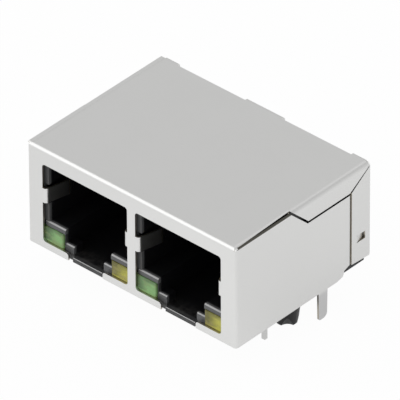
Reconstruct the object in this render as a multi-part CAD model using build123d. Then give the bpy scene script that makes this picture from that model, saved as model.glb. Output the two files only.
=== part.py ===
from build123d import *
import math
import os

# Shielded two-port jack for a circuit board, with lamps and built-in transformers.
# Millimetres. The origin is midway between the locating posts, on the face of the board.
# +Z is up, +Y runs from the ports to the back, +X is to the right seen from the ports.
# Depths are measured back from the shield's front face, heights up from the board.

# Ports
cavity_width = 11.9
cavity_height = 6.9
cavity_depth = 13.0
port_wall = 2.07
mouth_chamfer = 0.55

# Shield sheet
sheet = 0.25
shield_lift = 0.2
side_margin = 2.25
bend_outer = 0.4
roof_bend = 0.7
corner_notch = 0.3

# Port windows in the shield's front
window_reveal = 0.44
window_head = 1.1
window_sill = 0.9
window_corner = 0.4
sill_clearance = 0.4
sill_corner = 0.35

# Ground springs at the sides of the windows
spring_height = 1.95
spring_rise = 2.73
spring_root = 0.15
spring_bend = 0.4
spring_length = 3.25
spring_lean = 13.0
spring_curl_length = 0.7
spring_curl = 35.0
spring_curl_bend = 0.5

# Side walls, roof flaps and back flanges
flap_start = 9.4
flap_run = 2.65
flap_drop = 2.53
flap_gap = 0.28
roof_inset_front = 0.28
roof_inset_back = 0.52
wall_top_drop = 0.06
wall_brow = 0.15
seam_gap = 0.35
flange_length = 3.3
flange_lift = 1.05
flange_dip = 0.2
flange_corner = 0.35
mitre_gap = 0.12

# The wall's heel: how far ahead of the seam each corner is, and how far above the wall's lower edge
wall_heel = ((2.1, 0.0), (1.15, 0.22), (1.0, 0.5), (0.9, 0.9))
wall_heel_top = 1.25

# Bend relief slots along the back of the roof
bridge_half_width = 2.75
side_bridge_width = 2.55
relief_depth = 0.55

# Lanced tabs in the back flanges
tab_inset = 0.85
tab_height = 3.65
tab_length = 1.35
tab_width = 0.86
tab_slit = 0.06
tab_lean = 13.0

# Solder legs
leg_depth = 14.53
leg_width = 1.5
leg_reach = 3.5
leg_taper = 0.07
leg_tip_front = 0.25
leg_tip_back = 0.65

# Housing
front_gap = 0.35
side_gap = 0.35
roof_gap = 0.15
back_gap = 0.3
base_bevel = 0.2
cavity_back = 1.2
bay_wall = 1.47
bay_roof = 0.5
slip = 0.05

# Latch slots
slot_floor = 0.58
lip_reach = 1.2
lip_height = 1.27
lip_thickness = 1.5
lip_round = 0.25
toe_inset = 0.05
toe_proud = 0.27
toe_edge = 0.06

# Roof bars over the lamps
lamp_roof = 0.65
roof_bar_width = 2.95
roof_bar_depth = 0.7
roof_bar_proud = 0.1
roof_bar_round = 0.3
roof_bar_recess = 0.25

# Relief pockets behind the ground springs
spring_pocket_depth = 0.65
spring_pocket_room = 0.75
spring_pocket_margin = 0.3

# Locating posts
post_inset = 2.055
post_setback = 11.4
post_radius = 1.55
post_root = 1.1
post_reach = 3.2
post_taper = 0.23
flute_offset = 0.35
flute_radius = 1.0

# Lamps
lamp_front_gap = 0.06
lamp_height = 2.35
lamp_length = 5.9
lamp_partition = 0.27
lamp_wall = 0.15
lamp_edge = 0.1
lamp_floor = 0.65

# Lamp leads
lead_pitch = 2.54
lead_width = 0.5
lead_thickness = 0.45
lead_margin = 0.055
lead_run = 0.9
lead_bend = 0.5
lead_reach = 3.35
lead_tip = 0.12
lead_room = 0.375

# Spring contacts
contact_count = 8
contact_pitch = 1.02
contact_width = 0.45
contact_thickness = 0.3
contact_slope = 16.0
contact_tip_gap = 0.66
contact_tail = 1.3
contact_fit = 0.02

# Contact carriers
carrier_nose = 0.7
carrier_nose_depth = 4.6
carrier_side = 0.82
carrier_ledge = 0.6
carrier_ledge_height = 0.25
carrier_lift = 0.1
carrier_comb_setback = 1.4
carrier_comb_height = 0.65
carrier_front_room = 0.4
carrier_head = 0.1

# Comb ribs that keep the contact tips apart
comb_gap = 0.105
comb_rib_depth = 1.5
comb_rib_height = 2.0

# Board pins
pin_size = 0.46
pin_hole_fit = 0.02
pin_reach = 3.4
pin_above_board = 0.35
pin_tip = 0.11
pin_pitch = 2.54
pin_row_gap = 2.54
pins_per_row = 4

# Inner circuit boards
board_thickness = 0.8
board_gap = 0.1
board_side_gap = 0.25
board_ahead_of_pins = 3.0
board_behind_pins = 0.66

# Transformer cases
case_side_gap = 0.15
case_front_gap = 0.3
case_behind_pins = 1.71
case_back_gap = 0.35
case_lift = 0.25
case_edge = 0.3

# Chip capacitors
chip_length = 3.2
chip_pin_gap = 0.24
chip_height = 0.6

# Widths that follow from the ports
port_pitch = cavity_width + port_wall
window_width = cavity_width + 2 * window_reveal
shield_width = port_pitch + window_width + 2 * side_margin
half_width = shield_width / 2
housing_side = half_width - sheet - side_gap
post_spacing = 2 * (housing_side - post_inset)
lamp_outer = port_pitch / 2 - lamp_partition / 2 - slip
lamp_inner = lamp_outer - lead_pitch - lead_width - 2 * lead_margin
channel_half = lamp_inner - slip - lamp_wall
lip_half = channel_half - lip_reach
toe_half = lip_half - toe_inset
sill_gap = 2 * (toe_half + sill_clearance)
bar_end = channel_half + roof_bar_width
bay_half = (port_pitch - bay_wall) / 2
case_half = bay_half - case_side_gap
board_half = bay_half - board_side_gap
carrier_half = contact_count / 2 * contact_pitch + carrier_side
comb_rib_width = contact_pitch - contact_width - 2 * comb_gap

# Heights that follow from the lamps, the ports and the carriers
lamp_top = lamp_floor + lamp_height
lip_top = slot_floor + lip_height
cavity_low = lamp_top + slip + lamp_roof
cavity_top = cavity_low + cavity_height
carrier_low = cavity_top + carrier_lift
ledge_top = cavity_top + carrier_ledge_height
nose_z = carrier_low + carrier_nose
carrier_deck = nose_z + carrier_nose
carrier_top = carrier_deck + carrier_comb_height
board_top = carrier_deck
board_low = board_top - board_thickness
bay_top = carrier_top + carrier_head
housing_top = bay_top + bay_roof
shield_low = shield_lift
shield_top = housing_top + roof_gap + sheet
shield_height = shield_top - shield_low
window_low = shield_low + window_sill
window_height = cavity_top + window_head - window_low
spring_low = cavity_low + spring_rise
flap_low = shield_top - flap_drop

# Depths that follow from the ports and the cases
front = -post_setback
housing_front = front + sheet + front_gap
cavity_end = front + cavity_depth
bay_front = cavity_end + cavity_back
case_front = bay_front + case_front_gap
pin_front = case_front + board_ahead_of_pins
pin_back = pin_front + pin_row_gap
case_back = pin_back + case_behind_pins
housing_back = case_back + case_back_gap
back = housing_back + back_gap + sheet
board_front = case_front
board_back = pin_back + board_behind_pins
carrier_end = board_front - board_gap
nose_y = front + carrier_nose_depth
lamp_face = front + sheet + lamp_front_gap
lamp_back = lamp_face + lamp_length
shield_depth = back - front
flange_front = back - flange_length
seam = flange_front - seam_gap

port_centres = {"left": -port_pitch / 2, "right": port_pitch / 2}


def block(x, y, z):
    """A box from the low and high value on each axis."""
    centre = [(low + high) / 2 for low, high in (x, y, z)]
    size = [high - low for low, high in (x, y, z)]
    return Pos(*centre) * Box(*size)


def about(centre, half):
    """The low and high value of a span about its centre."""
    return (centre - half, centre + half)


def span(a, b):
    """Two values in rising order."""
    return (min(a, b), max(a, b))


def side_cut(points, x=None):
    """A prism along X of an outline drawn in Y and Z."""
    low, high = x or (-half_width, half_width)
    face = make_face(Polyline(*points, close=True))
    return extrude(Plane.YZ.offset(low) * face, amount=high - low)


def sleeve(width, height, bend=bend_outer):
    """The sheet's section, wrapped round a rectangle with the bend's radii at its corners."""
    outside = RectangleRounded(width, height, bend)
    inside = RectangleRounded(width - 2 * sheet, height - 2 * sheet, bend - sheet)
    return outside - inside


# The shield is one sheet: each fold is a stretch of a sleeve, cut to that wall's outline
def make_shield():
    tall = 2 * shield_height
    middle_y = (front + back) / 2
    upright = extrude(
        Pos(0, middle_y, shield_low) * sleeve(shield_width, shield_depth), amount=shield_height
    )
    along = Plane.XZ.offset(-back) * Pos(0, shield_top - tall / 2)
    lengthwise = extrude(along * sleeve(shield_width, tall, roof_bend), amount=shield_depth)
    crown = extrude(along * RectangleRounded(shield_width, tall, roof_bend), amount=shield_depth)
    crosswise = extrude(
        Plane.YZ.offset(-half_width) * Pos(middle_y, shield_top - tall / 2) * sleeve(shield_depth, tall),
        amount=shield_width,
    )
    flat = half_width - bend_outer
    below_bend = shield_top - bend_outer
    shield = upright & block((-flat, flat), (front, front + bend_outer), (shield_low, below_bend))
    shield += upright & block((-flat, flat), (back - bend_outer, back), (shield_low + flange_lift, below_bend))
    shield += upright & wall_outline()
    shield += upright & flange_outline()
    shield += crosswise & roof_ends() & crown
    shield += lengthwise & roof_ahead()
    shield += lengthwise & flap_outline()
    for z in (below_bend, shield_top):
        shield -= relief_slots(below_bend, z)
    for centre in port_centres.values():
        shield -= window_cut(centre)
        for side in (-1, 1):
            shield += ground_spring(centre, side)
    for side in (-1, 1):
        shield += solder_leg(side)
        shield = lance_tab(shield, side)
    return shield


def wall_outline():
    """Side walls and front folds: level along the roof, then stepping down under the flap."""
    brow = shield_top - wall_top_drop
    notch_low = flap_low - flap_gap
    slant = flap_run / flap_drop
    shift = flap_gap * math.hypot(flap_run, flap_drop) / flap_drop
    apex = front + flap_start - shift
    points = [(front, shield_low)]
    for ahead, rise in wall_heel:
        points.append((seam - ahead, shield_low + rise))
    points += [
        (seam, shield_low + wall_heel_top),
        (seam, notch_low),
        (apex + (shield_top - notch_low) * slant, notch_low),
        (apex + wall_top_drop * slant, brow),
        (front + bend_outer, brow),
        (front + wall_brow, shield_top - wall_brow),
        (front, shield_top - bend_outer),
    ]
    return side_cut(points)


def mitre_corner(gap):
    """Where the flap, the back flange and the roof meet, moved square to the mitre by a gap."""
    rise = shield_top - bend_outer / 2 - flap_low
    run = back - seam
    length = math.hypot(rise, run)
    shift = (gap * rise / length, -gap * run / length)
    low = (seam + shift[0], flap_low + shift[1])
    high = (back + shift[0], shield_top - bend_outer / 2 + shift[1])
    return low, high


def flap_outline():
    """Roof flaps: a slanted front edge, a level lower edge and the mitre to the back flange."""
    low, high = mitre_corner(0)
    start = front + flap_start
    points = [
        (start, shield_top),
        (start + flap_run, flap_low),
        low,
        (back - bend_outer, high[1] - (bend_outer * (high[1] - low[1]) / (high[0] - low[0]))),
        (back - bend_outer, shield_top),
    ]
    return side_cut(points)


def flange_outline():
    """Back flanges and their folds, below the mitre, with a clipped lower corner."""
    low, high = mitre_corner(mitre_gap)
    bottom = shield_low + flange_lift
    points = [
        (flange_front, bottom),
        (back - flange_corner, bottom - flange_dip),
        (back, bottom - flange_dip + flange_corner),
        (back, high[1]),
        (flange_front, low[1]),
    ]
    return side_cut(points)


def roof_ends():
    """The roof's front bend, and the roof from there to its back bend."""
    bends = (shield_top - bend_outer, shield_top)
    front_bend = block(
        about(0, half_width - corner_notch), (front, front + bend_outer), bends
    )
    behind = block(
        about(0, half_width - roof_bend), (front + bend_outer, back), bends
    )
    return front_bend + behind


def roof_ahead():
    """The roof's sides ahead of the flaps, drawing in from the walls towards the back."""
    start = front + bend_outer
    end = front + flap_start
    wide = half_width - roof_inset_front
    narrow = half_width - roof_inset_back
    outline = Polyline(
        (-wide, start), (wide, start), (narrow, end), (-narrow, end), close=True
    )
    return extrude(
        Pos(0, 0, shield_top - roof_bend) * make_face(outline), amount=roof_bend
    )


def relief_slots(low, high):
    """Two slots across the back bend, between its three bridges."""
    outer = half_width - side_bridge_width
    rear = (back - relief_depth, back)
    slots = block((-outer, -bridge_half_width), rear, (low - bend_outer / 2, high))
    slots += block((bridge_half_width, outer), rear, (low - bend_outer / 2, high))
    return slots


def window_cut(centre):
    """A port window with the gap in its sill that the plug's latch passes through."""
    middle = window_low + window_height / 2
    opening = Pos(0, middle) * RectangleRounded(window_width, window_height, window_corner)
    drop = window_low - shield_low + window_corner
    opening += Pos(0, window_low + window_corner - drop / 2) * Rectangle(sill_gap, drop)
    corners = [
        v
        for v in opening.vertices()
        if abs(abs(v.X) - sill_gap / 2) < 1e-6 and abs(v.Y - window_low) < 1e-6
    ]
    opening = fillet(corners, sill_corner)
    return extrude(
        Plane.XZ.offset(-front - bend_outer) * Pos(centre, 0) * opening, amount=2 * bend_outer
    )


def ground_spring(centre, side):
    """A finger bent back from the window's edge, leaning into the port and curled away at its tip."""
    lean = math.radians(spring_lean)
    turn = math.radians(90 - spring_lean)
    curl = math.radians(spring_curl)
    mid_bend = spring_bend - sheet / 2
    edge = centre + side * window_width / 2
    y = front + sheet / 2
    corner = edge - side * (spring_root + mid_bend * math.tan(turn / 2))
    end_x = corner - side * spring_length * math.sin(lean)
    end_y = y + spring_length * math.cos(lean)
    tip_x = end_x + side * spring_curl_length * math.sin(curl)
    tip_y = end_y + spring_curl_length * math.cos(curl)
    path = FilletPolyline(
        (edge + side * sheet, y),
        (corner, y),
        (end_x, end_y),
        (tip_x, tip_y),
        radius=[mid_bend, spring_curl_bend],
    )
    finger = trace(path, line_width=sheet)
    return extrude(Pos(0, 0, spring_low) * finger, amount=spring_height)


def solder_leg(side):
    """A leg that runs on down from the side wall, narrowing to a rounded tip."""
    low, high = about(front + leg_depth, leg_width / 2)
    face = make_face(
        Polyline(
            (low, shield_low + leg_width),
            (low, shield_low),
            (low + leg_taper, -leg_reach),
            (high - leg_taper, -leg_reach),
            (high, shield_low),
            (high, shield_low + leg_width),
            close=True,
        )
    )
    tip_back = face.vertices().sort_by(Axis.Y)[:2].sort_by(Axis.X)[-1]
    face = fillet(tip_back, leg_tip_back)
    tip_front = face.vertices().sort_by(Axis.Y)[:2].sort_by(Axis.X)[0]
    face = fillet(tip_front, leg_tip_front)
    x = span(side * half_width, side * (half_width - sheet))
    return extrude(Plane.YZ.offset(x[0]) * face, amount=sheet)


def lance_tab(shield, side):
    """Cuts a window in a back flange and bends its tongue inwards, hinged at the front."""
    hinge = flange_front + tab_inset
    wall = span(side * half_width, side * (half_width - sheet))
    middle = shield_low + tab_height + tab_width / 2
    window = block(
        wall, (hinge, hinge + tab_length + tab_slit), about(middle, tab_width / 2 + tab_slit)
    )
    lean = math.radians(tab_lean)
    outer = side * half_width
    inner = side * (half_width - sheet)
    sink = side * tab_length * math.sin(lean)
    reach = tab_length * math.cos(lean)
    tongue = make_face(
        Polyline(
            (outer, hinge - sheet),
            (outer, hinge),
            (outer - sink, hinge + reach),
            (inner - sink, hinge + reach),
            (inner, hinge),
            (inner, hinge - sheet),
            close=True,
        )
    )
    tongue = extrude(Pos(0, 0, middle - tab_width / 2) * tongue, amount=tab_width)
    return shield - window + tongue


# The housing is one moulding for both ports
def make_housing():
    housing = block(about(0, housing_side), (housing_front, housing_back), (0, housing_top))
    base_edges = housing.edges().filter_by(Axis.Y).group_by(Axis.Z)[0]
    housing = chamfer(base_edges, base_bevel)
    for centre in port_centres.values():
        housing -= cavity_cut(centre)
        housing -= bay_cut(centre)
        for side in (-1, 1):
            housing -= lamp_pocket(centre, side)
            housing -= spring_pocket(centre, side)
        housing += latch_floor_toe(centre)
        for side in (-1, 1):
            housing += latch_lip(centre, side)
            housing += roof_bar(centre, side)
        housing += comb_ribs(centre)
    for side in (-1, 1):
        housing += locating_post(side)
    return housing


def cavity_cut(centre):
    """The plug's space and the latch channel under it, with a bevel at the top of the mouth."""
    whole = (housing_front, cavity_end)
    cut = block(about(centre, cavity_width / 2), whole, (cavity_low, cavity_top))
    cut += block(about(centre, channel_half), whole, (slot_floor, cavity_low))
    bevel = [
        (housing_front, cavity_top),
        (housing_front, cavity_top + mouth_chamfer),
        (housing_front + mouth_chamfer, cavity_top),
    ]
    return cut + side_cut(bevel, about(centre, cavity_width / 2))


def bay_cut(centre):
    """The rear bay for the transformer case, and the two-step channel that the carrier slides in."""
    cut = block(
        about(centre, bay_half), (bay_front, housing_back), (0, bay_top)
    )
    start = nose_y - carrier_nose - contact_thickness - carrier_front_room
    run = (start, bay_front)
    wide = carrier_half + slip
    cut += block(about(centre, wide), run, (ledge_top, bay_top))
    cut += block(about(centre, wide - carrier_ledge), run, (cavity_top, ledge_top))
    return cut


def lamp_pocket(centre, side):
    """A lamp's pocket, open at the front, with a slot down to the board for its leads."""
    x = span(centre + side * (lamp_inner - slip), centre + side * (lamp_outer + slip))
    body = block(
        x, (housing_front, lamp_back + slip), (lamp_floor - slip, lamp_top + slip)
    )
    lead_slot = lead_run + lead_thickness / 2 + lead_room
    leads = block(x, (lamp_back, lamp_back + lead_slot), (0, lamp_top + slip))
    beside_bar = block(
        span(centre + side * bar_end, centre + side * (lamp_outer + slip)),
        (housing_front, housing_front + roof_bar_recess),
        (lamp_floor - slip, cavity_low),
    )
    bar_seat = block(
        span(centre + side * channel_half, centre + side * cavity_width / 2),
        (housing_front, housing_front + roof_bar_round),
        (lamp_top, cavity_low),
    )
    return body + leads + beside_bar + bar_seat


def spring_pocket(centre, side):
    """Room in the cavity's wall for a ground spring to be pushed back into."""
    x = span(
        centre + side * cavity_width / 2, centre + side * (cavity_width / 2 + spring_pocket_depth)
    )
    z = about(spring_low + spring_height / 2, spring_height / 2 + spring_pocket_margin)
    run = spring_length + spring_pocket_room
    return block(x, (housing_front, housing_front + run), z)


def latch_floor_toe(centre):
    """The slot's floor runs forward into the gap in the shield's sill."""
    toe = block(about(centre, toe_half), (housing_front - toe_proud, housing_front), (0, slot_floor))
    return chamfer(top_front_edge(toe), toe_edge)


def top_front_edge(piece):
    """The upper edge of a block's front face."""
    return piece.edges().filter_by(Axis.X).group_by(Axis.Y)[0].sort_by(Axis.Z)[-1]


def latch_lip(centre, side):
    """One of the two lips, rounded at the front, that the plug's latch snaps in behind."""
    x = span(centre + side * lip_half, centre + side * channel_half)
    lip = block(x, (housing_front, housing_front + lip_thickness), (slot_floor, lip_top))
    return fillet(top_front_edge(lip), lip_round)


def roof_bar(centre, side):
    """The rounded bar over a lamp, a little proud of the housing's front."""
    x = span(centre + side * channel_half, centre + side * bar_end)
    y = (housing_front - roof_bar_proud, housing_front + roof_bar_depth)
    bar = block(x, y, (lamp_top + slip, cavity_low))
    return fillet(top_front_edge(bar), roof_bar_round)


def comb_ribs(centre):
    """Ribs on the cavity's back wall, one each side of every contact's tip."""
    ribs = []
    first = centre - contact_count / 2 * contact_pitch
    for index in range(contact_count + 1):
        ribs.append(
            block(
                about(first + index * contact_pitch, comb_rib_width / 2),
                (cavity_end - comb_rib_depth, cavity_end),
                (cavity_top - comb_rib_height, cavity_top),
            )
        )
    return ribs


def locating_post(side):
    """A round root that fills the board's hole, then a tapered tip with four flutes."""
    taper_length = post_reach - post_root
    root = Pos(0, 0, -post_root / 2) * Cylinder(post_radius, post_root)
    tip = Pos(0, 0, -post_root - taper_length / 2) * Cone(
        post_radius - post_taper, post_radius, taper_length
    )
    flute = Pos(0, 0, -post_root - taper_length / 2) * Cone(flute_radius, 0, taper_length)
    for quarter in range(4):
        turn = 45 + 90 * quarter
        tip -= Rot(0, 0, turn) * Pos(post_radius + flute_offset, 0, 0) * flute
    return Pos(side * post_spacing / 2, 0, 0) * (root + tip)


# Lamps
def lamp_span(centre, side):
    return span(centre + side * lamp_inner, centre + side * lamp_outer)


def make_lamp(centre, side):
    """A square lamp body with softened edges at its face."""
    body = block(lamp_span(centre, side), (lamp_face, lamp_back), (lamp_floor, lamp_top))
    face_edges = body.faces().sort_by(Axis.Y)[0].edges()
    return chamfer(face_edges, lamp_edge)


def make_lead(x):
    """A lamp lead: straight out of the lamp's back, then down through the board."""
    z = (lamp_floor + lamp_top) / 2
    down = lamp_back + lead_run
    path = FilletPolyline(
        (lamp_back, z),
        (down, z),
        (down, -lead_reach),
        radius=lead_bend,
    )
    strip = trace(path, line_width=lead_thickness)
    lead = extrude(Plane.YZ.offset(x - lead_width / 2) * strip, amount=lead_width)
    return chamfer(lead.faces().sort_by(Axis.Z)[0].edges(), lead_tip)


# Contacts and what carries them
def make_contact(x):
    """A wire along the carrier's deck, round its nose and back down into the port."""
    slope = math.radians(contact_slope)
    radius = carrier_nose + contact_fit + contact_thickness / 2
    start = (board_front + contact_tail, nose_z + radius)
    over = (nose_y, nose_z + radius)
    mid_turn = math.radians(90 + (180 - contact_slope) / 2)
    around = (nose_y + radius * math.cos(mid_turn), nose_z + radius * math.sin(mid_turn))
    under = (nose_y - radius * math.sin(slope), nose_z - radius * math.cos(slope))
    run = cavity_end - contact_tip_gap - under[0]
    tip = (under[0] + run, under[1] - run * math.tan(slope))
    path = Line(start, over) + ThreePointArc(over, around, under) + Line(under, tip)
    strip = trace(path, line_width=contact_thickness)
    return extrude(Plane.YZ.offset(x - contact_width / 2) * strip, amount=contact_width)


def make_carrier(centre):
    """A moulded tray with a round nose, side rails and one groove for each contact."""
    end = carrier_end
    comb = nose_y + carrier_comb_setback
    wide = about(centre, carrier_half)
    carrier = block(wide, (nose_y, end), (carrier_low, carrier_deck))
    nose = Pos(centre, nose_y, nose_z) * Rot(0, 90, 0) * Cylinder(
        carrier_nose, 2 * carrier_half
    )
    carrier += nose
    carrier += block(wide, (comb, end), (carrier_deck, carrier_top))
    for side in (-1, 1):
        edge = centre + side * carrier_half
        rebate = span(edge, edge - side * (carrier_ledge + slip))
        carrier -= block(
            rebate, (nose_y - carrier_nose, end), (carrier_low, ledge_top + contact_fit)
        )
    for x in contact_places(centre):
        carrier -= block(
            about(x, contact_width / 2 + contact_fit), (comb, end), (carrier_deck, carrier_top)
        )
    return carrier


def contact_places(centre):
    """The contacts' places across a port, from left to right."""
    first = -(contact_count - 1) / 2
    return [centre + (first + index) * contact_pitch for index in range(contact_count)]


def pin_places(centre):
    """The board pins' places: two rows, half a pitch apart."""
    places = []
    for row in range(2):
        stagger = (row - 0.5) * pin_pitch / 2
        for index in range(pins_per_row):
            x = centre + (index - (pins_per_row - 1) / 2) * pin_pitch + stagger
            places.append((x, pin_front + row * pin_row_gap))
    return places


def pin_holes(centre, z):
    """Square holes for all of a port's pins between two heights."""
    half = pin_size / 2 + pin_hole_fit
    return [block(about(x, half), about(y, half), z) for x, y in pin_places(centre)]


def make_board(centre):
    """The inner circuit board, drilled for the pins."""
    y = (board_front, board_back)
    z = (board_low, board_top)
    return block(about(centre, board_half), y, z) - pin_holes(centre, z)


def make_case(centre):
    """The potted transformer case under the inner board, with a bore for each pin."""
    z = (case_lift, board_low)
    case = block(about(centre, case_half), (case_front, case_back), z)
    case = chamfer(case.edges().filter_by(Axis.Z), case_edge)
    return case - pin_holes(centre, z)


def make_pin(x, y):
    """A square pin from below the main board up through the inner one, pointed at both ends."""
    z = (-pin_reach, board_top + pin_above_board)
    pin = block(about(x, pin_size / 2), about(y, pin_size / 2), z)
    ends = pin.faces().sort_by(Axis.Z)
    return chamfer(ends[0].edges() + ends[-1].edges(), pin_tip)


def make_chip(centre):
    """A chip capacitor between the two rows of pins."""
    y = (pin_front + pin_size / 2 + chip_pin_gap, pin_back - pin_size / 2 - chip_pin_gap)
    return block(about(centre, chip_length / 2), y, (board_top, board_top + chip_height))


def make_parts():
    """Every piece of the jack by name."""
    parts = {"shield": make_shield(), "housing": make_housing()}
    for port, centre in port_centres.items():
        parts[f"{port}_contact_carrier"] = make_carrier(centre)
        for number, x in enumerate(contact_places(centre), 1):
            parts[f"{port}_contact_{number}"] = make_contact(x)
        parts[f"{port}_circuit_board"] = make_board(centre)
        parts[f"{port}_transformer_case"] = make_case(centre)
        parts[f"{port}_chip_capacitor"] = make_chip(centre)
        for number, place in enumerate(pin_places(centre), 1):
            parts[f"{port}_board_pin_{number}"] = make_pin(*place)
        for colour, side in (("green", -1), ("yellow", 1)):
            parts[f"{port}_{colour}_lamp"] = make_lamp(centre, side)
            middle = centre + side * (lamp_inner + lamp_outer) / 2
            for name, step in (("inner", -1), ("outer", 1)):
                x = middle + side * step * lead_pitch / 2
                parts[f"{port}_{colour}_lamp_{name}_lead"] = make_lead(x)
    return parts


if __name__ == "__main__":
    os.makedirs("parts", exist_ok=True)
    for name, part in make_parts().items():
        part.label = name
        export_step(part, f"parts/{name}.step")
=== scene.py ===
"""The looks of a shielded two-port jack: metals, mouldings, lamps, a pale stage and the photo's camera."""
import math

import bmesh
import bpy
import numpy as np
from mathutils import Matrix, Vector


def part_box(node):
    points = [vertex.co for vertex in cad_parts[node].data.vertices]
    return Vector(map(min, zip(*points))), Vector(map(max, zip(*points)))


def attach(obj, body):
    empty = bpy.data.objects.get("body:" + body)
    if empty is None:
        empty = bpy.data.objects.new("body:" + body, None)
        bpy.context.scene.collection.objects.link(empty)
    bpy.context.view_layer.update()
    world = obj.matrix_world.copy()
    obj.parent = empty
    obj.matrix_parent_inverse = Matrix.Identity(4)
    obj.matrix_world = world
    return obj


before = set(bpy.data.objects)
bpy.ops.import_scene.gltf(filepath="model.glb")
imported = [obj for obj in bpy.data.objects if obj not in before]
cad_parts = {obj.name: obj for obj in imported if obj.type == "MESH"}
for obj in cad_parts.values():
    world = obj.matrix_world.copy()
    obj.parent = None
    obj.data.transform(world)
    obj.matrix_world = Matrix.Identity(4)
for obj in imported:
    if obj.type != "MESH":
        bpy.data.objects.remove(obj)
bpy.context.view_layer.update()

MM = 0.001

# The photo's camera: a long lens, above and to the right of the ports
VIEW_AZIMUTH = 42.13
VIEW_ELEVATION = 35.67
VIEW_ROLL = -0.293
VIEW_DISTANCE = 1189 * MM
AIM_RIGHT = 0.070 * MM
AIM_UP = 0.043 * MM
SENSOR = 36.0
FOCAL_IN_FRAMES = 26.607
CLIP = (0.1, 10)

# The stage: a floor just under the tips, its glow, and a stronger glow in front of the ports
FLOOR_DEPTH = 3.55 * MM
FLOOR_REACH = 600 * MM
FLOOR_COLOUR = (0.9, 0.9, 0.9)
FLOOR_SEEN = 0.97
FLOOR_MIRRORED = 0.49
FLOOR_LIFT = 0.26
FLOOR_LIFT_PLACE = (5 * MM, -25 * MM, -FLOOR_DEPTH)
FLOOR_LIFT_REACH = 34 * MM

# The studio room: its level at the horizon, the change overhead, and the rise at which that is whole
ROOM_LEVEL = 0.82
ROOM_FALL = -0.16
ROOM_HEIGHT = 0.6

# Soft shapes of the room seen in the metal: direction, outer and inner half-angle, and added light
STUDIO_SHAPES = (
    ((-0.15, 0.60, 0.785), 17.0, 9.0, 0.17),
    ((0.35, 0.60, 0.72), 12.0, 5.0, -0.12),
    ((-0.66, 0.73, 0.0), 24.0, 12.0, -0.40),
)
KEY_LAMP = {"azimuth": -47, "elevation": 35, "distance": 0.5, "size": 0.62, "power": 0.78}

# The shield: its outer faces, its walls' lower edge, its sheet, its bends and its flaps' slanted fronts
SHIELD_TOP = 13.75 * MM
SHIELD_SIDE = 15.625 * MM
SHIELD_FRONT = -11.4 * MM
SHIELD_BACK = 11.25 * MM
SHIELD_SEAT = 0.2 * MM
SHEET = 0.25 * MM
FRONT_BEND = -11.0 * MM
FRONT_BEND_RADIUS = 0.4 * MM
FLAP_BEND = 0.7 * MM
FLAP_FRONT = -2.0 * MM
FLAP_SLOPE = 2.53 / 2.65

# The left fold: the roof's edge at the front bend and at the flap, its notch, and the gap off the sheet
STRIP_FRONT = -11.25 * MM
ROOF_EDGE = (15.345 * MM, 15.105 * MM)
NOTCH_EDGE = 15.325 * MM
WALL_TOP_DROP = 0.058 * MM
FOLD_RADIUS = 0.12 * MM
FLAP_STRAIGHT = -1.2 * MM
FLAP_BACK = 10.85 * MM
CLEAR = 0.003 * MM

# Rows along the new pieces, and points round their arcs
BEND_ROWS = 7
STRIP_ROWS = 8
FLAP_ROWS = 12
ARC_POINTS = 8
QUARTER_POINTS = 6

# Rolled metal: its patterns' repeats in a metre, the broad one's share, and the heights
STREAKS = (900, 9000, 9000)
UNEVENNESS = 160
UNEVEN_SHARE = 0.45
STREAK_HEIGHT = 0.01 * MM
WAVES = 75
WAVE_HEIGHT = 0.1 * MM

# Moulded plastic: the grain's and the drift's repeats in a metre, and the grain's height
GRAIN = 14000
GRAIN_HEIGHT = 0.008 * MM
DRIFT = 420

# How nearly a normal lies along an axis, as cosines, and how far off the shield's box an edge lies
ALONG_AXIS = (0.990, 0.996)
FACING_OUT = 0.9
FACING_UP = 0.99
FACING_AHEAD = (0.99, 0.85)
OFF_BOX = 0.03 * MM

# Places on the shield that look different, by depth, by height or by distance from an edge, painted shade
# and a painted highlight among them
SEAM = (7.4 * MM, 8.1 * MM)
RIM_DEPTH = 0.2 * MM
WALL_TOPS = 10 * MM
LEG_ROOT = (0.4 * MM, -0.3 * MM)
INSIDE_FRONT = -11.38 * MM
INSIDE_BACK = 11.0 * MM
BACK_FOLD = 10.3 * MM
ROOF_HIGHLIGHT_WIDTH = 0.3 * MM

# Places on the housing: the painted light by height, up to each band's top, the dust with its painted sheen,
# and the faces given a painted highlight
CAVITY_FRONT = -10.8 * MM
PAINTED_LIGHT_REACH = 0.5 * MM
PAINTED_LIGHT_BANDS = ((0.9 * MM, 0.35), (1.9 * MM, 0.85), (3.0 * MM, 0.35))
PAINTED_LIGHT_ABOVE = 0.95
DUST_AND_SHEEN_REACH = 3.0 * MM
DUST_AND_SHEEN_TOP = 1.2 * MM
DUST_AND_SHEEN_SPECKS = 2600
DUST_AND_SHEEN_RANGE = (0.35, 0.7)
HIGHLIGHT_FACING = (0.0, -1.0, 1.2)
HIGHLIGHT_RANGE = (0.89, 0.98)
HOUSING_GLOSS = 0.4

# The lamps: where each colour's left edge is in a port, the painted shade at the lens's left and top, and
# the lens's clouds, painted highlight line, warm spots and foot
LAMP_PITCH = 13.97 * MM
LAMP_WIDTH = 3.15 * MM
LAMP_TOP = 3.0 * MM
LAMP_LEFT_EDGE = {"green": 0.185 * MM, "yellow": -3.335 * MM}
LIGHT_FROM, LIGHT_FULL = 0.06 * LAMP_WIDTH, 0.78 * LAMP_WIDTH
TOP_SHADE = (LAMP_TOP - 0.05 * MM, LAMP_TOP - 0.55 * MM)
TOP_SHADE_SHARE = 0.6
CLOUDS = (700, 700, 1500)
CLOUD_SWING = 1.3
LINE_HEIGHT = 1.3 * MM
LINE_WIDTH = (0.14 * MM, 0.05 * MM)
HIGHLIGHT_LINE_LIFT = 0.5
WARM_SPOTS = 1100
WARM_RANGE = (0.48, 0.66)
WARM_SHARE = 0.5
FOOT = (LINE_HEIGHT - 0.08 * MM, LINE_HEIGHT - 0.2 * MM)

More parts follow.
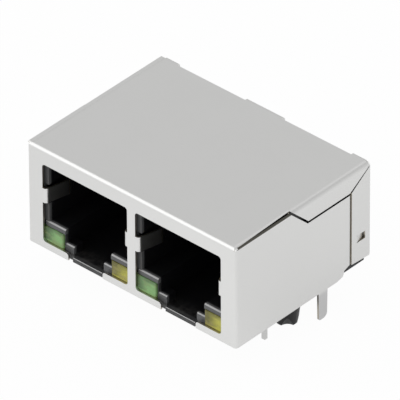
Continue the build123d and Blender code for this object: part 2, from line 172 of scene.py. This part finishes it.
# Colours as seen, 0 to 1
SHEET_COLOUR = (0.80, 0.80, 0.79)
HOUSING_COLOUR = (0.006, 0.006, 0.007)
# Painted light on the ports' fronts, a painted highlight on their upper edges, and dust with a painted sheen
HOUSING_PAINTED_LIGHT = (0.115, 0.117, 0.12)
HOUSING_PAINTED_HIGHLIGHT = (0.50, 0.50, 0.50)
HOUSING_DUST_AND_SHEEN = (0.045, 0.044, 0.042)
CARRIER_COLOUR = (0.012, 0.012, 0.013)
GOLD = (0.85, 0.62, 0.25)
TIN = (0.74, 0.74, 0.73)
BOARD_GREEN = (0.02, 0.11, 0.035)
RESIN = (0.02, 0.02, 0.022)
CERAMIC = (0.35, 0.26, 0.18)
# Each lens's own colour, a darker copy of it for painted shade, its foot's colour and its warm spots' colour
LENSES = {
    "green": {
        "Colour": (0.24, 0.46, 0.17),
        "Painted Shade": (0.055, 0.11, 0.04),
        "Rim": (0.20, 0.25, 0.09),
        "Warm": (0.24, 0.30, 0.12),
    },
    "yellow": {
        "Colour": (0.54, 0.52, 0.07),
        "Painted Shade": (0.14, 0.13, 0.02),
        "Rim": (0.20, 0.18, 0.04),
        "Warm": (0.34, 0.30, 0.10),
    },
}

# Colours of the shield's marked places, each laid over the ones before it: painted shade inside the walls,
# on the legs and under the roof's edge, and a painted highlight along the roof's right edge
SHEET_MARKS = (
    ("Inside", (0.34, 0.34, 0.33)),
    ("Shaded Leg", (0.66, 0.66, 0.66)),
    ("Roof Highlight", (0.93, 0.93, 0.92)),
    ("Edge", (0.56, 0.52, 0.45)),
    ("Seam", (0.62, 0.57, 0.48)),
    ("Shade Under Roof", (0.10, 0.095, 0.08)),
)

# Finishes by the nodes' last words: material, texture, colour, roughness, its variation and the relief
FINISHES = {
    "shield": ("shield_metal", "rolled", SHEET_COLOUR, 0.34, 0.05, 0.15),
    "housing": ("housing_black", "moulded", HOUSING_COLOUR, 0.34, 0.1, 0.3),
    "contact": ("gold_contact", "rolled", GOLD, 0.22, 0.05, 0.1),
    "carrier": ("carrier_plastic", "moulded", CARRIER_COLOUR, 0.5, 0.1, 0.3),
    "pin": ("tinned_pin", "rolled", TIN, 0.36, 0.1, 0.2),
    "lead": ("tinned_lead", "rolled", TIN, 0.36, 0.1, 0.2),
    "circuit_board": ("circuit_board", "moulded", BOARD_GREEN, 0.3, 0.1, 0.2),
    "case": ("potting", "moulded", RESIN, 0.55, 0.1, 0.4),
    "capacitor": ("ceramic_chip", "moulded", CERAMIC, 0.5, 0.1, 0.3),
    "green_lamp": ("green_lens", "moulded", LENSES["green"]["Colour"], 0.28, 0.1, 0.12),
    "yellow_lamp": ("yellow_lens", "moulded", LENSES["yellow"]["Colour"], 0.28, 0.1, 0.12),
}
METALLIC = {"rolled": 1.0, "moulded": 0.0}

FLOAT, COLOUR, VECTOR = "NodeSocketFloat", "NodeSocketColor", "NodeSocketVector"


def node(tree, kind, **settings):
    """A shader node with its settings and its unlinked inputs given by name."""
    made = tree.nodes.new(kind)
    for name, value in settings.items():
        if hasattr(made, name):
            setattr(made, name, value)
        else:
            made.inputs[name.replace("_", " ")].default_value = value
    return made


def math_node(tree, operation, first, second=0.0, third=0.0):
    """A maths node's result; each input is a number or another node's output."""
    made = node(tree, "ShaderNodeMath", operation=operation)
    for index, value in enumerate((first, second, third)):
        if isinstance(value, (int, float)):
            made.inputs[index].default_value = value
        else:
            tree.links.new(value, made.inputs[index])
    return made.outputs[0]


def above(tree, value, limit):
    """One where the value is over the limit, and zero elsewhere."""
    return math_node(tree, "GREATER_THAN", value, limit)


def below(tree, value, limit):
    """One where the value is under the limit, and zero elsewhere."""
    return math_node(tree, "LESS_THAN", value, limit)


def size_of(tree, value):
    """The value without its sign."""
    return math_node(tree, "ABSOLUTE", value)


def product(tree, *masks):
    """All the masks multiplied together."""
    result = masks[0]
    for mask in masks[1:]:
        result = math_node(tree, "MULTIPLY", result, mask)
    return result


def ramp_between(tree, value, low, high):
    """Zero at low, one at high, with a smooth step between."""
    made = node(tree, "ShaderNodeMapRange", interpolation_type="SMOOTHSTEP", From_Min=low, From_Max=high)
    tree.links.new(value, made.inputs["Value"])
    return made.outputs["Result"]


def split(tree, vector):
    """A vector's parts, as outputs named X, Y and Z."""
    made = node(tree, "ShaderNodeSeparateXYZ")
    tree.links.new(vector, made.inputs[0])
    return made.outputs


def alignment(tree, vector, direction):
    """The cosine of the angle between a unit vector and a fixed direction."""
    made = node(tree, "ShaderNodeVectorMath", operation="DOT_PRODUCT")
    made.inputs[1].default_value = Vector(direction).normalized()
    tree.links.new(vector, made.inputs[0])
    return made.outputs["Value"]


def noise(tree, place, repeats, detail, roughness):
    """Noise over a place, with one number of repeats in a metre or one for each axis."""
    if isinstance(repeats, tuple):
        stretch = node(tree, "ShaderNodeMapping", Scale=repeats)
        tree.links.new(place, stretch.inputs["Vector"])
        place, repeats = stretch.outputs["Vector"], 1.0
    made = node(tree, "ShaderNodeTexNoise", Scale=repeats, Detail=detail, Roughness=roughness)
    tree.links.new(place, made.inputs["Vector"])
    return made.outputs["Fac"]


def mix_colour(tree, factor, first, second):
    """A mix of two colours; the first is an output, the second an output or a plain colour."""
    made = node(tree, "ShaderNodeMix", data_type="RGBA")
    tree.links.new(factor, made.inputs["Factor"])
    tree.links.new(first, made.inputs["A"])
    if isinstance(second, tuple):
        made.inputs["B"].default_value = (*second, 1)
    else:
        tree.links.new(second, made.inputs["B"])
    return made.outputs["Result"]


def mix_shader(tree, factor, first, second):
    """A mix of two shaders by a factor."""
    made = node(tree, "ShaderNodeMixShader")
    for index, value in enumerate((factor, first, second)):
        tree.links.new(value, made.inputs[index])
    return made.outputs[0]


def group_tree(name, inputs, outputs):
    """An empty node group, with the sockets that it takes from and gives to the outside.

    Inputs are (kind, name, default) and outputs are (kind, name).
    """
    tree = bpy.data.node_groups.new(name, "ShaderNodeTree")
    for kind, label, default in inputs:
        tree.interface.new_socket(label, in_out="INPUT", socket_type=kind).default_value = default
    for kind, label in outputs:
        tree.interface.new_socket(label, in_out="OUTPUT", socket_type=kind)
    return tree, tree.nodes.new("NodeGroupInput").outputs, tree.nodes.new("NodeGroupOutput").inputs


def placed_group(tree, group, **values):
    """A group placed in a material, with Object coordinates as its place and colours or numbers by name."""
    made = tree.nodes.new("ShaderNodeGroup")
    made.node_tree = group
    place = node(tree, "ShaderNodeTexCoord")
    tree.links.new(place.outputs["Object"], made.inputs["Place"])
    for name, value in values.items():
        whole = (*value, 1) if isinstance(value, tuple) else value
        made.inputs[name.replace("_", " ")].default_value = whole
    return made


def finish_group(name):
    """An empty group for a finish, with the sockets that every finish has."""
    return group_tree(
        name,
        [
            (VECTOR, "Place", (0, 0, 0)),
            (COLOUR, "Colour", (1, 1, 1, 1)),
            (FLOAT, "Roughness", 0.5),
            (FLOAT, "Variation", 0.1),
            (FLOAT, "Relief", 0.2),
        ],
        [(COLOUR, "Colour"), (FLOAT, "Roughness"), (VECTOR, "Normal")],
    )


def vary(tree, given, out, pattern):
    """Colour and roughness of a finish, both swinging with a pattern.

    The swing is the pattern less a half, times the variation. The colour is multiplied by one plus the
    swing, and the roughness has the swing added.
    """
    swing = math_node(tree, "MULTIPLY", math_node(tree, "SUBTRACT", pattern, 0.5), given["Variation"])
    tint = node(tree, "ShaderNodeVectorMath", operation="SCALE")
    tree.links.new(given["Colour"], tint.inputs[0])
    tree.links.new(math_node(tree, "ADD", 1.0, swing), tint.inputs["Scale"])
    tree.links.new(tint.outputs[0], out["Colour"])
    tree.links.new(math_node(tree, "ADD", given["Roughness"], swing), out["Roughness"])


def rolled_finish():
    """Rolled metal: fine streaks along X, faint broad unevenness and a slow waviness.

    The pattern is noise stretched along X mixed with broad noise. The height is that pattern, laid over
    slow waves that bend the reflections.
    """
    tree, given, out = finish_group("rolled_finish")
    link = tree.links.new
    both = node(tree, "ShaderNodeMix", data_type="FLOAT", Factor=UNEVEN_SHARE)
    link(noise(tree, given["Place"], STREAKS, detail=3.0, roughness=0.6), both.inputs["A"])
    link(noise(tree, given["Place"], UNEVENNESS, detail=2.0, roughness=0.5), both.inputs["B"])
    vary(tree, given, out, both.outputs["Result"])
    wavy = node(tree, "ShaderNodeBump", Strength=1.0, Distance=WAVE_HEIGHT)
    link(noise(tree, given["Place"], WAVES, detail=1.0, roughness=0.4), wavy.inputs["Height"])
    streaky = node(tree, "ShaderNodeBump", Distance=STREAK_HEIGHT)
    link(wavy.outputs["Normal"], streaky.inputs["Normal"])
    link(given["Relief"], streaky.inputs["Strength"])
    link(both.outputs["Result"], streaky.inputs["Height"])
    link(streaky.outputs["Normal"], out["Normal"])
    return tree


def moulded_finish():
    """Moulded plastic: a fine grain in the height, and a slow drift in colour and roughness."""
    tree, given, out = finish_group("moulded_finish")
    vary(tree, given, out, noise(tree, given["Place"], DRIFT, detail=2.0, roughness=0.5))
    grained = node(tree, "ShaderNodeBump", Distance=GRAIN_HEIGHT)
    tree.links.new(given["Relief"], grained.inputs["Strength"])
    tree.links.new(noise(tree, given["Place"], GRAIN, detail=2.0, roughness=0.55), grained.inputs["Height"])
    tree.links.new(grained.outputs["Normal"], out["Normal"])
    return tree


def sheet_marks():
    """Masks of the places where the shield's sheet looks different.

    A face is a sheared edge where its normal lies along an axis and it isn't on the shield's outer box on
    that axis; the box has no face below, so in Z it is taken as deep as it is high. Painted shade marks the
    sheared edges that face up near the roof, with the right wall's rim beside the roof, where the roof's
    edge shades them. A painted highlight follows the roof's right edge ahead of the flap, a straight line
    that draws in towards the back. The seam is a stretch of the sheared edges. Painted shade marks all
    that lies within the walls and doesn't face forward, and a leg, what comes down past the housing.
    """
    tree, given, out = group_tree(
        "sheet_marks",
        [(VECTOR, "Place", (0, 0, 0)), (VECTOR, "Normal", (0, 0, 1))],
        [(FLOAT, label) for label, colour in SHEET_MARKS],
    )
    link = tree.links.new
    place, facing = split(tree, given["Place"]), split(tree, given["Normal"])

    sheared = {}
    for axis, near, far in (
        ("X", -SHIELD_SIDE, SHIELD_SIDE),
        ("Y", SHIELD_FRONT, SHIELD_BACK),
        ("Z", -SHIELD_TOP, SHIELD_TOP),
    ):
        along = ramp_between(tree, size_of(tree, facing[axis]), *ALONG_AXIS)
        offset = size_of(tree, math_node(tree, "SUBTRACT", place[axis], (far + near) / 2))
        sheared[axis] = product(tree, along, below(tree, offset, (far - near) / 2 - OFF_BOX))
    upright = math_node(tree, "MAXIMUM", sheared["X"], sheared["Y"])
    edge = math_node(tree, "MAXIMUM", upright, sheared["Z"])
    link(product(tree, edge, below(tree, place["Y"], BACK_FOLD)), out["Edge"])

    # Painted shade on the sheared edges that face up near the roof and on the right wall's band just under
    # the roof's edge
    level = product(tree, sheared["Z"], above(tree, facing["Z"], 0.0), above(tree, place["Z"], WALL_TOPS))
    ahead = below(tree, place["Y"], FLAP_FRONT)
    sideways = above(tree, facing["X"], FACING_OUT)
    rim = product(tree, sideways, above(tree, place["Z"], SHIELD_TOP - RIM_DEPTH), ahead)
    link(math_node(tree, "MAXIMUM", level, rim), out["Shade Under Roof"])

    # A painted highlight along the roof's right edge ahead of the flap
    slope = (ROOF_EDGE[1] - ROOF_EDGE[0]) / (FLAP_FRONT - FRONT_BEND)
    drawn = math_node(tree, "MULTIPLY_ADD", place["Y"], slope, ROOF_EDGE[0] - slope * FRONT_BEND)
    from_edge = math_node(tree, "SUBTRACT", drawn, place["X"])
    roof_highlight = ramp_between(tree, from_edge, ROOF_HIGHLIGHT_WIDTH, ROOF_HIGHLIGHT_WIDTH / 2)
    link(product(tree, roof_highlight, above(tree, facing["Z"], FACING_UP), ahead), out["Roof Highlight"])

    behind, before = above(tree, place["Y"], SEAM[0]), below(tree, place["Y"], SEAM[1])
    link(product(tree, edge, behind, before), out["Seam"])

    # Painted shade on all that lies within the walls and doesn't face forward
    turned = ramp_between(tree, size_of(tree, facing["Y"]), *FACING_AHEAD)
    inside = product(tree, above(tree, place["Y"], INSIDE_FRONT), turned, above(tree, place["Z"], SHEET))
    limits = {"X": SHIELD_SIDE - 2 * SHEET, "Y": INSIDE_BACK, "Z": SHIELD_TOP - 2 * SHEET}
    for axis, limit in limits.items():
        inside = product(tree, inside, below(tree, size_of(tree, place[axis]), limit))
    link(inside, out["Inside"])
    # Painted shade on the legs, below the housing
    link(ramp_between(tree, place["Z"], *LEG_ROOT), out["Shaded Leg"])
    return tree


def lens_glow():
    """A diffused lens: painted shade at its left and top, where the shield's edge and the roof shade it,
    lightest right of its middle, with a warm foot.

    The place across the lens is X from the lamp's left edge, wrapped by the ports' pitch. Slow noise makes
    it cloudy, finer noise adds warm spots, and a pale painted highlight line lies just above the foot.
    """
    tree, given, out = group_tree(
        "lens_glow",
        [(VECTOR, "Place", (0, 0, 0)), (FLOAT, "Left Edge", 0.0)]
        + [(COLOUR, label, (0, 0, 0, 1)) for label in ("Colour", "Painted Shade", "Rim", "Warm")],
        [(COLOUR, "Colour")],
    )
    place = split(tree, given["Place"])
    shifted = math_node(tree, "SUBTRACT", place["X"], given["Left Edge"])
    across = math_node(tree, "FLOORED_MODULO", shifted, LAMP_PITCH)
    # Painted shade under the roof at the lens's top, and by the shield's edge at its left
    below_top = ramp_between(tree, place["Z"], *TOP_SHADE)
    shaded = math_node(tree, "MULTIPLY_ADD", below_top, TOP_SHADE_SHARE, 1 - TOP_SHADE_SHARE)
    share = product(tree, ramp_between(tree, across, LIGHT_FROM, LIGHT_FULL), shaded)
    cloud = noise(tree, given["Place"], CLOUDS, detail=4.0, roughness=0.65)
    drift = math_node(tree, "MULTIPLY_ADD", cloud, CLOUD_SWING, -CLOUD_SWING / 2)
    cloudy = math_node(tree, "ADD", share, drift)
    # A painted highlight line just above the foot
    from_line = size_of(tree, math_node(tree, "SUBTRACT", place["Z"], LINE_HEIGHT))
    line = ramp_between(tree, from_line, *LINE_WIDTH)
    lightness = math_node(tree, "MULTIPLY_ADD", line, HIGHLIGHT_LINE_LIFT, cloudy)
    body = mix_colour(tree, lightness, given["Painted Shade"], given["Colour"])
    speckle = noise(tree, given["Place"], WARM_SPOTS, detail=2.0, roughness=0.5)
    spots = ramp_between(tree, speckle, *WARM_RANGE)
    warm = mix_colour(tree, math_node(tree, "MULTIPLY", spots, WARM_SHARE), body, given["Warm"])
    foot = ramp_between(tree, place["Z"], *FOOT)
    tree.links.new(mix_colour(tree, foot, warm, given["Rim"]), out["Colour"])
    return tree


def finished(name, texture, colour, roughness, variation, relief, metallic):
    """A material whose Principled shader takes colour, roughness and normal from a finish group."""
    material = bpy.data.materials.new(name)
    material.use_nodes = True
    tree = material.node_tree
    surface = tree.nodes["Principled BSDF"]
    surface.inputs["Metallic"].default_value = metallic
    finish = placed_group(
        tree, texture, Colour=colour, Roughness=roughness, Variation=variation, Relief=relief
    ).outputs
    tree.links.new(finish["Colour"], surface.inputs["Base Color"])
    tree.links.new(finish["Roughness"], surface.inputs["Roughness"])
    tree.links.new(finish["Normal"], surface.inputs["Normal"])
    return material


def mark_sheet(material, marks):
    """Adds the shield's marks: painted shade inside and on the legs, a painted highlight along the roof's
    edge, brassy sheared edges, and painted shade on the ones that face up near the roof.

    The edges in the seam are bare and dull, so they aren't metallic to light.
    """
    tree = material.node_tree
    surface = tree.nodes["Principled BSDF"].inputs
    masks = placed_group(tree, marks)
    geometry = node(tree, "ShaderNodeNewGeometry")
    tree.links.new(geometry.outputs["Normal"], masks.inputs["Normal"])
    laid = surface["Base Color"].links[0].from_socket
    for label, colour in SHEET_MARKS:
        laid = mix_colour(tree, masks.outputs[label], laid, colour)
    tree.links.new(laid, surface["Base Color"])
    tree.links.new(math_node(tree, "SUBTRACT", 1.0, masks.outputs["Seam"]), surface["Metallic"])


def paint_housing_light_and_dust(material):
    """Adds painted light on the ports' fronts, a painted highlight on their faces turned forward and up, and
    dust with a painted sheen on the slots' floors.
    """
    tree = material.node_tree
    surface = tree.nodes["Principled BSDF"].inputs
    surface["Specular IOR Level"].default_value = HOUSING_GLOSS
    coordinates = node(tree, "ShaderNodeTexCoord").outputs["Object"]
    place = split(tree, coordinates)
    # Painted light on the ports' fronts, its share set by height bands
    near = ramp_between(tree, place["Y"], CAVITY_FRONT + PAINTED_LIGHT_REACH, CAVITY_FRONT + PAINTED_LIGHT_REACH / 2)
    share = PAINTED_LIGHT_ABOVE
    for top, level in reversed(PAINTED_LIGHT_BANDS):
        change = math_node(tree, "SUBTRACT", level, share)
        share = math_node(tree, "MULTIPLY_ADD", below(tree, place["Z"], top), change, share)
    painted_light = product(tree, near, share)
    geometry = node(tree, "ShaderNodeNewGeometry")
    # A painted highlight on the ports' front faces that turn forward and up
    highlighted = ramp_between(tree, alignment(tree, geometry.outputs["Normal"], HIGHLIGHT_FACING), *HIGHLIGHT_RANGE)
    # Dust with a painted sheen on the slots' floors, fading into the cavity
    fading = ramp_between(tree, place["Y"], CAVITY_FRONT + DUST_AND_SHEEN_REACH, CAVITY_FRONT)
    low_down = ramp_between(tree, place["Z"], DUST_AND_SHEEN_TOP, DUST_AND_SHEEN_TOP / 2)
    specks = noise(tree, coordinates, DUST_AND_SHEEN_SPECKS, detail=2.0, roughness=0.7)
    dust_and_sheen = product(tree, fading, low_down, ramp_between(tree, specks, *DUST_AND_SHEEN_RANGE))
    laid = surface["Base Color"].links[0].from_socket
    laid = mix_colour(tree, dust_and_sheen, laid, HOUSING_DUST_AND_SHEEN)
    laid = mix_colour(tree, painted_light, laid, HOUSING_PAINTED_LIGHT)
    laid = mix_colour(tree, product(tree, near, highlighted), laid, HOUSING_PAINTED_HIGHLIGHT)
    tree.links.new(laid, surface["Base Color"])


def light_lens(material, colour, glow):
    """Gives a lamp's lens the cloudy glow in its own colours."""
    tree = material.node_tree
    lens = placed_group(tree, glow, Left_Edge=LAMP_LEFT_EDGE[colour], **LENSES[colour])
    tree.links.new(lens.outputs["Colour"], tree.nodes["Principled BSDF"].inputs["Base Color"])


def kind_of(name):
    """The words in the table of finishes that end a node's name, once its number is dropped."""
    plain = name.rstrip("0123456789").rstrip("_")
    return next(kind for kind in FINISHES if plain.endswith(kind))


def dress(piece, material):
    """Gives a CAD node one material in place of its own."""
    piece.data.materials.clear()
    piece.data.materials.append(material)


def linked(name, data):
    """An object made from its data and put into the scene."""
    made = bpy.data.objects.new(name, data)
    bpy.context.scene.collection.objects.link(made)
    return made


def stage_material(name, colour):
    """A pale diffuse surface that also glows white, by one share to the camera and another in reflections.

    From its back it can be seen through, so that the object's underside can be looked at.
    """
    material = bpy.data.materials.new(name)
    material.use_nodes = True
    tree = material.node_tree
    tree.nodes.remove(tree.nodes["Principled BSDF"])
    away = node(tree, "ShaderNodeVectorMath", operation="DISTANCE")
    away.inputs[1].default_value = FLOOR_LIFT_PLACE
    tree.links.new(node(tree, "ShaderNodeTexCoord").outputs["Object"], away.inputs[0])
    lift = ramp_between(tree, away.outputs["Value"], FLOOR_LIFT_REACH, FLOOR_LIFT_REACH / 3)
    mirrored = math_node(tree, "MULTIPLY_ADD", lift, FLOOR_LIFT, FLOOR_MIRRORED)
    paths = node(tree, "ShaderNodeLightPath").outputs
    direct = math_node(tree, "MULTIPLY", paths["Is Camera Ray"], FLOOR_SEEN)
    bounced = math_node(tree, "MULTIPLY", paths["Is Glossy Ray"], mirrored)
    matt = node(tree, "ShaderNodeBsdfDiffuse", Color=(*colour, 1)).outputs[0]
    glow = node(tree, "ShaderNodeEmission", Color=(1, 1, 1, 1), Strength=1.0).outputs[0]
    front = mix_shader(tree, math_node(tree, "MAXIMUM", direct, bounced), matt, glow)
    backfacing = node(tree, "ShaderNodeNewGeometry").outputs["Backfacing"]
    sided = mix_shader(tree, backfacing, front, node(tree, "ShaderNodeBsdfTransparent").outputs[0])
    tree.links.new(sided, tree.nodes["Material Output"].inputs["Surface"])
    return material


def make_floor():
    """A wide level floor just under the tips."""
    turns = ((-1, -1), (1, -1), (1, 1), (-1, 1))
    corners = [(FLOOR_REACH * x, FLOOR_REACH * y, -FLOOR_DEPTH) for x, y in turns]
    mesh = bpy.data.meshes.new("floor")
    mesh.from_pydata(corners, [], [(0, 1, 2, 3)])
    mesh.materials.append(stage_material("floor_white", FLOOR_COLOUR))
    linked("floor", mesh)


def make_world():
    """A pale studio room: white to the camera; in light a little darker overhead, with soft shapes in it."""
    world = bpy.data.worlds.new("studio")
    world.use_nodes = True
    bpy.context.scene.world = world
    tree = world.node_tree
    toward = node(tree, "ShaderNodeTexCoord").outputs["Generated"]
    rise = ramp_between(tree, split(tree, toward)["Z"], 0.0, ROOM_HEIGHT)
    level = math_node(tree, "MULTIPLY_ADD", rise, ROOM_FALL, ROOM_LEVEL)
    for direction, outer, inner, added in STUDIO_SHAPES:
        edge, core = math.cos(math.radians(outer)), math.cos(math.radians(inner))
        shape = ramp_between(tree, alignment(tree, toward, direction), edge, core)
        level = math_node(tree, "MULTIPLY_ADD", shape, added, level)
    room = tree.nodes["Background"]
    room.inputs["Color"].default_value = (1, 1, 1, 1)
    tree.links.new(level, room.inputs["Strength"])
    white = node(tree, "ShaderNodeBackground", Color=(1, 1, 1, 1), Strength=1.0)
    seen = node(tree, "ShaderNodeLightPath").outputs["Is Camera Ray"]
    mixed = mix_shader(tree, seen, room.outputs[0], white.outputs[0])
    tree.links.new(mixed, tree.nodes["World Output"].inputs["Surface"])


def outward(azimuth, elevation):
    """The direction out from the object at these angles in degrees; azimuth 0 is ahead of the ports."""
    a, e = math.radians(azimuth), math.radians(elevation)
    return Vector((math.sin(a) * math.cos(e), -math.cos(a) * math.cos(e), math.sin(e)))


def make_softbox(name, aim, azimuth, elevation, distance, size, power):
    """A square soft lamp, placed round the object by its angles and turned to it."""
    lamp = bpy.data.lights.new(name, "AREA")
    lamp.size = size
    lamp.energy = power
    holder = linked(name, lamp)
    back = outward(azimuth, elevation)
    holder.location = aim + back * distance
    holder.rotation_mode = "QUATERNION"
    holder.rotation_quaternion = (-back).to_track_quat("-Z", "Y")


def make_camera(centre):
    """The long lens, aimed near the shield's middle and rolled by a fraction of a degree."""
    a = math.radians(VIEW_AZIMUTH)
    back = outward(VIEW_AZIMUTH, VIEW_ELEVATION)
    level = Vector((math.cos(a), math.sin(a), 0))
    rise = back.cross(level)
    roll = math.radians(VIEW_ROLL)
    right = math.cos(roll) * level + math.sin(roll) * rise
    up = math.cos(roll) * rise - math.sin(roll) * level
    place = centre + AIM_RIGHT * level + AIM_UP * rise + VIEW_DISTANCE * back
    lens = bpy.data.cameras.new("camera")
    lens.sensor_width = SENSOR
    lens.lens = SENSOR * FOCAL_IN_FRAMES
    lens.clip_start, lens.clip_end = CLIP
    camera = linked("camera", lens)
    camera.matrix_world = Matrix.Translation(place) @ Matrix((right, up, back)).transposed().to_4x4()
    bpy.context.scene.camera = camera


def swept_band(name, depths, outline, material):
    """A closed band along Y: at each depth a ring of points in X and Z, joined to the next ring.

    The outline function gives, for all depths at once, arrays of X and Z with one row for each depth.
    """
    x, z = outline(depths)
    rows, ring = x.shape
    points = np.stack([x, np.broadcast_to(depths[:, None], x.shape), z], axis=-1).reshape(-1, 3)
    row, column = np.meshgrid(np.arange(rows - 1), np.arange(ring), indexing="ij")
    after = (column + 1) % ring
    corners = [row * ring + column, row * ring + after, (row + 1) * ring + after, (row + 1) * ring + column]
    sides = np.stack(corners, axis=-1).reshape(-1, 4)
    ends = [tuple(range(ring))[::-1], tuple(range((rows - 1) * ring, rows * ring))]
    mesh = bpy.data.meshes.new(name)
    mesh.from_pydata(points.tolist(), [], sides.tolist() + ends)
    work = bmesh.new()
    work.from_mesh(mesh)
    bmesh.ops.recalc_face_normals(work, faces=work.faces)
    work.to_mesh(mesh)
    work.free()
    mesh.materials.append(material)
    piece = linked(name, mesh)
    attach(piece, "root")


def quarter_turn():
    """Cosine and sine of evenly spaced angles over a quarter turn."""
    angle = np.linspace(0, math.pi / 2, QUARTER_POINTS)
    return np.cos(angle), np.sin(angle)


def wide_bend():
    """The circle that the new pieces' undersides follow, just outside the sheet's wide bend.

    It gives the centre's X and Z, and the radius.
    """
    return SHIELD_SIDE - FLAP_BEND, SHIELD_TOP - FLAP_BEND, FLAP_BEND + CLEAR


def roof_edge_outline(depths):
    """The roof's left edge ahead of the flap: a tight fold down to the wall's top, over the sheet's bend.

    Its top is level, and over the front bend it drops along that bend's circle, by the radius less the
    root of the radius squared less the distance squared. Its underside runs out along the wide bend's
    circle to the roof's edge, which draws in evenly towards the flap. There it goes straight down to two
    sheets under its top, out to the wall's inside and up that to the wall's top, where the fold starts, a
    quarter circle.
    """
    into = np.minimum(depths - FRONT_BEND, 0)
    top = SHIELD_TOP - FRONT_BEND_RADIUS + np.sqrt(FRONT_BEND_RADIUS**2 - into**2) - CLEAR
    share = (depths - FRONT_BEND) / (FLAP_FRONT - FRONT_BEND)
    edge = np.where(share < 0, NOTCH_EDGE, ROOF_EDGE[0] + share * (ROOF_EDGE[1] - ROOF_EDGE[0])) + CLEAR
    centre_x, centre_z, radius = wide_bend()
    start = np.arcsin((top - centre_z) / radius)[:, None]
    end = np.arccos((edge - centre_x) / radius)[:, None]
    turn = start + (np.minimum(start, end) - start) * np.linspace(0, 1, ARC_POINTS)[None, :]
    fold = WALL_TOP_DROP - 2 * CLEAR
    cosine, sine = quarter_turn()
    ones = np.ones_like(depths)[:, None]
    fold_x = (SHIELD_SIDE - CLEAR - fold + fold * cosine) * ones
    fold_z = top[:, None] - fold + fold * sine
    wall_x = (SHIELD_SIDE - SHEET - CLEAR) * ones
    low = (top - 2 * SHEET)[:, None]
    seat = (top - fold)[:, None]
    x = np.hstack([fold_x, centre_x + radius * np.cos(turn), edge[:, None], wall_x, wall_x])
    z = np.hstack([fold_z, centre_z + radius * np.sin(turn), low, low, seat])
    return -x, z


def flap_fold_outline(depths):
    """The left flap's fold: tight outside, and inside it the flap's wide bend, a circle about one centre.

    The fold outside is a quarter circle. The lower end follows the flap's slanted front edge, a straight
    line, until it reaches the bend's foot, where the circle meets the side.
    """
    centre_x, centre_z, radius = wide_bend()
    side, top = SHIELD_SIDE - CLEAR, SHIELD_TOP - CLEAR
    foot = centre_z + math.sqrt(radius**2 - (side - centre_x) ** 2)
    slant = top - 2 * CLEAR - (depths - FLAP_FRONT) * FLAP_SLOPE
    low = np.maximum(foot, slant)[:, None]
    cosine, sine = quarter_turn()
    ones = np.ones_like(depths)[:, None]
    fold_z = np.maximum(top - FOLD_RADIUS + FOLD_RADIUS * sine, low)
    fold_x = (side - FOLD_RADIUS + FOLD_RADIUS * cosine) * ones
    head = centre_x + math.sqrt(radius**2 - (top - centre_z) ** 2)
    start = np.arcsin(np.clip((low - centre_z) / radius, 0, 1))
    end = math.asin((top - centre_z) / radius)
    turn = end + (start - end) * np.linspace(0, 1, ARC_POINTS)[None, :]
    x = np.hstack([side * ones, fold_x, head * ones, centre_x + radius * np.cos(turn)])
    z = np.hstack([low, fold_z, top * ones, centre_z + radius * np.sin(turn)])
    return -x, z


def make_left_fold(material):
    """The two pieces that close the roof's left side: its edge ahead of the flap, and the flap's fold."""
    bend_depths = np.linspace(STRIP_FRONT, FRONT_BEND, BEND_ROWS)
    straight_depths = np.linspace(FRONT_BEND + CLEAR, FLAP_FRONT, STRIP_ROWS)
    swept_band("left_roof_edge", np.append(bend_depths, straight_depths), roof_edge_outline, material)
    slanted_depths = np.linspace(FLAP_FRONT, FLAP_FRONT + FLAP_BEND, BEND_ROWS)
    flap_depths = np.linspace(FLAP_STRAIGHT, FLAP_BACK, FLAP_ROWS)
    swept_band("left_flap_fold", np.append(slanted_depths, flap_depths), flap_fold_outline, material)


textures = {"rolled": rolled_finish(), "moulded": moulded_finish()}
materials = {
    kind: finished(name, textures[texture], *values, METALLIC[texture])
    for kind, (name, texture, *values) in FINISHES.items()
}
mark_sheet(materials["shield"], sheet_marks())
paint_housing_light_and_dust(materials["housing"])
lens_texture = lens_glow()
for colour in LENSES:
    light_lens(materials[f"{colour}_lamp"], colour, lens_texture)
for name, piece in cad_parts.items():
    dress(piece, materials[kind_of(name)])
make_left_fold(materials["shield"])

low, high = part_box("shield")
middle = Vector(((low.x + high.x) / 2, (low.y + high.y) / 2, (SHIELD_SEAT + high.z) / 2))
make_floor()
make_world()
make_softbox("key", middle, **KEY_LAMP)
make_camera(middle)
bpy.context.scene.view_settings.view_transform = "Standard"
